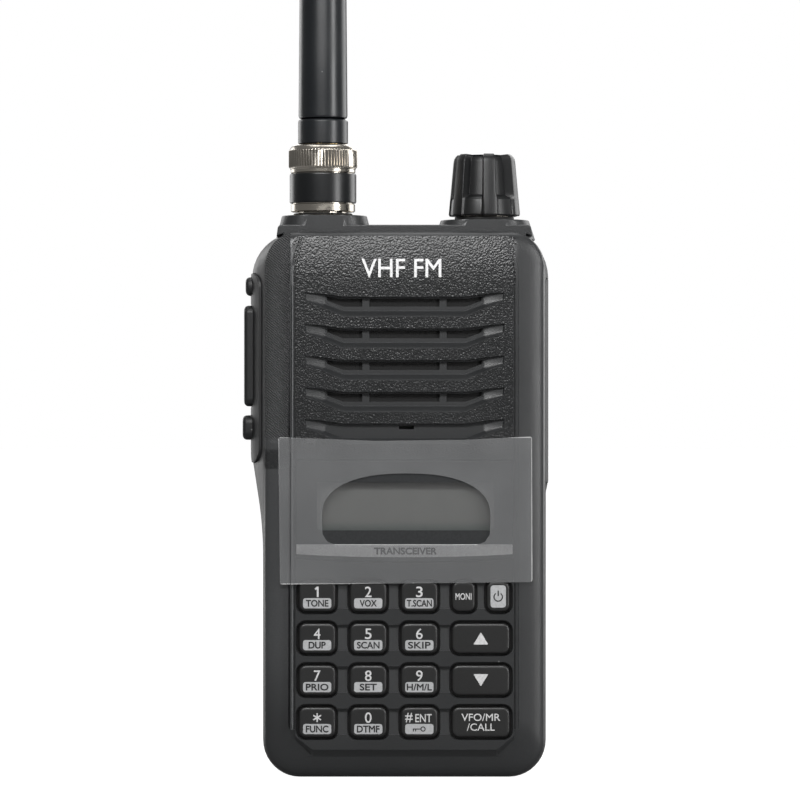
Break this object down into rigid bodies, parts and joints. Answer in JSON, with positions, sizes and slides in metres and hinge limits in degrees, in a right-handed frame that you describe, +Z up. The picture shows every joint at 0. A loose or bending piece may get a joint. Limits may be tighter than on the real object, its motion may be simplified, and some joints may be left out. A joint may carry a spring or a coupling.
{
  "type": "handheld radio",
  "caption": "Handheld VHF radio: numeric keypad, small display, slotted speaker, side transmit key, volume knob, bayonet antenna and slide-off battery.",
  "frame": {"origin": "on the flat underside of the chassis, midway between the sides", "axes": "+Z up along the antenna, -Y out of the front with the keypad, +X to the right seen from the front"},
  "size_m": [0.0622, 0.0367, 0.274],
  "materials": {
    "shell": "fine-grained moulded polycarbonate",
    "chassis": "die-cast, painted satin black",
    "rubber": "matt moulded rubber",
    "keypad_rubber": "silicone",
    "key_plastic": "satin keys with white printing",
    "knob_plastic": "satin moulding",
    "antenna_sheath": "smooth moulded sheath with a soft sheen",
    "nickel": "warm satin nickel plate",
    "gold": "gold plate",
    "display_window": "smoked acrylic with a printed mask",
    "lcd": "unlit grey liquid crystal",
    "white_plastic": "natural moulding",
    "film": "hazy transit film",
    "steel": "tinned sheet and plated steel",
    "cloth": "fine woven dust cloth",
    "circuit_board": "green solder mask",
    "cell_foil": "laminated foil pouch"
  },
  "bodies": {
    "body": {"front_case": "shell", "rear_chassis": "chassis", "main_seal": "rubber", "knob_seal": "rubber", "antenna_seal": "rubber", "keypad_mat": "keypad_rubber", "ptt_surround": "rubber", "antenna_socket": "nickel", "volume_nut": "nickel", "battery_terminals": "gold", "display_lens": "display_window", "lcd_panel": "lcd", "lcd_holder": "white_plastic", "protective_film": "film", "speaker": "steel", "microphone": "steel", "shield_can": "steel", "volume_control": "steel", "ptt_switch": "steel", "speaker_cloth": "cloth", "jack_block": "white_plastic", "logic_board": "circuit_board", "main_board": "circuit_board", "chassis_screw_1": "steel", "chassis_screw_2": "steel", "chassis_screw_3": "steel", "chassis_screw_4": "steel"},
    "ptt": {"ptt_key": "rubber"},
    "volume": {"volume_knob": "knob_plastic", "volume_shaft": "steel"},
    "antenna": {"antenna_plug": "gold", "antenna_ferrule": "antenna_sheath", "antenna_whip": "antenna_sheath"},
    "coupling": {"coupling_sleeve": "nickel", "coupling_band": "knob_plastic"},
    "battery": {"battery_shell": "shell", "battery_lid": "shell", "battery_cell_1": "cell_foil", "battery_cell_2": "cell_foil", "battery_board": "circuit_board"},
    "latch": {"battery_latch": "knob_plastic"},
    "jack_flap": {"jack_cover": "rubber"},
    "button_1": {"key_1": "key_plastic"},
    "button_2": {"key_2": "key_plastic"},
    "button_3": {"key_3": "key_plastic"},
    "button_monitor": {"key_monitor": "key_plastic"},
    "button_power": {"key_power": "key_plastic"},
    "button_4": {"key_4": "key_plastic"},
    "button_5": {"key_5": "key_plastic"},
    "button_6": {"key_6": "key_plastic"},
    "button_up": {"key_up": "key_plastic"},
    "button_7": {"key_7": "key_plastic"},
    "button_8": {"key_8": "key_plastic"},
    "button_9": {"key_9": "key_plastic"},
    "button_down": {"key_down": "key_plastic"},
    "button_star": {"key_star": "key_plastic"},
    "button_0": {"key_0": "key_plastic"},
    "button_hash": {"key_hash": "key_plastic"},
    "button_call": {"key_call": "key_plastic"}
  },
  "joints": [
    {"name": "press_1", "type": "slide", "parent": "body", "child": "button_1", "axis": [0, 1, 0], "range_m": [0, 0.0006], "stiffness_N_per_m": 1500},
    {"name": "press_2", "type": "slide", "parent": "body", "child": "button_2", "axis": [0, 1, 0], "range_m": [0, 0.0006], "stiffness_N_per_m": 1500},
    {"name": "press_3", "type": "slide", "parent": "body", "child": "button_3", "axis": [0, 1, 0], "range_m": [0, 0.0006], "stiffness_N_per_m": 1500},
    {"name": "press_monitor", "type": "slide", "parent": "body", "child": "button_monitor", "axis": [0, 1, 0], "range_m": [0, 0.0006], "stiffness_N_per_m": 1500},
    {"name": "press_power", "type": "slide", "parent": "body", "child": "button_power", "axis": [0, 1, 0], "range_m": [0, 0.0006], "stiffness_N_per_m": 1500},
    {"name": "press_4", "type": "slide", "parent": "body", "child": "button_4", "axis": [0, 1, 0], "range_m": [0, 0.0006], "stiffness_N_per_m": 1500},
    {"name": "press_5", "type": "slide", "parent": "body", "child": "button_5", "axis": [0, 1, 0], "range_m": [0, 0.0006], "stiffness_N_per_m": 1500},
    {"name": "press_6", "type": "slide", "parent": "body", "child": "button_6", "axis": [0, 1, 0], "range_m": [0, 0.0006], "stiffness_N_per_m": 1500},
    {"name": "press_up", "type": "slide", "parent": "body", "child": "button_up", "axis": [0, 1, 0], "range_m": [0, 0.0006], "stiffness_N_per_m": 1500},
    {"name": "press_7", "type": "slide", "parent": "body", "child": "button_7", "axis": [0, 1, 0], "range_m": [0, 0.0006], "stiffness_N_per_m": 1500},
    {"name": "press_8", "type": "slide", "parent": "body", "child": "button_8", "axis": [0, 1, 0], "range_m": [0, 0.0006], "stiffness_N_per_m": 1500},
    {"name": "press_9", "type": "slide", "parent": "body", "child": "button_9", "axis": [0, 1, 0], "range_m": [0, 0.0006], "stiffness_N_per_m": 1500},
    {"name": "press_down", "type": "slide", "parent": "body", "child": "button_down", "axis": [0, 1, 0], "range_m": [0, 0.0006], "stiffness_N_per_m": 1500},
    {"name": "press_star", "type": "slide", "parent": "body", "child": "button_star", "axis": [0, 1, 0], "range_m": [0, 0.0006], "stiffness_N_per_m": 1500},
    {"name": "press_0", "type": "slide", "parent": "body", "child": "button_0", "axis": [0, 1, 0], "range_m": [0, 0.0006], "stiffness_N_per_m": 1500},
    {"name": "press_hash", "type": "slide", "parent": "body", "child": "button_hash", "axis": [0, 1, 0], "range_m": [0, 0.0006], "stiffness_N_per_m": 1500},
    {"name": "press_call", "type": "slide", "parent": "body", "child": "button_call", "axis": [0, 1, 0], "range_m": [0, 0.0006], "stiffness_N_per_m": 1500},
    {"name": "press_ptt", "type": "slide", "parent": "body", "child": "ptt", "axis": [1, 0, 0], "range_m": [0, 0.001], "stiffness_N_per_m": 2500},
    {"name": "turn_volume", "type": "hinge", "parent": "body", "child": "volume", "pos_m": [0.0163, -0.0073, 0.118], "axis": [0, 0, 1], "range_deg": [-150, 150]},
    {"name": "lift_antenna", "type": "slide", "parent": "body", "child": "antenna", "axis": [0, 0, 1], "range_m": [0, 0.02]},
    {"name": "turn_coupling", "type": "hinge", "parent": "antenna", "child": "coupling", "pos_m": [-0.0166, -0.0073, 0.12], "axis": [0, 0, 1], "range_deg": [0, 90]},
    {"name": "slide_battery", "type": "slide", "parent": "body", "child": "battery", "axis": [0, 0, -1], "range_m": [0, 0.0085]},
    {"name": "push_latch", "type": "slide", "parent": "battery", "child": "latch", "axis": [0, 1, 0], "range_m": [0, 0.002], "stiffness_N_per_m": 1000},
    {"name": "open_jack_cover", "type": "hinge", "parent": "body", "child": "jack_flap", "pos_m": [0.02935, -0.0101, 0.101], "axis": [0, -1, 0], "range_deg": [0, 120]}
  ]
}
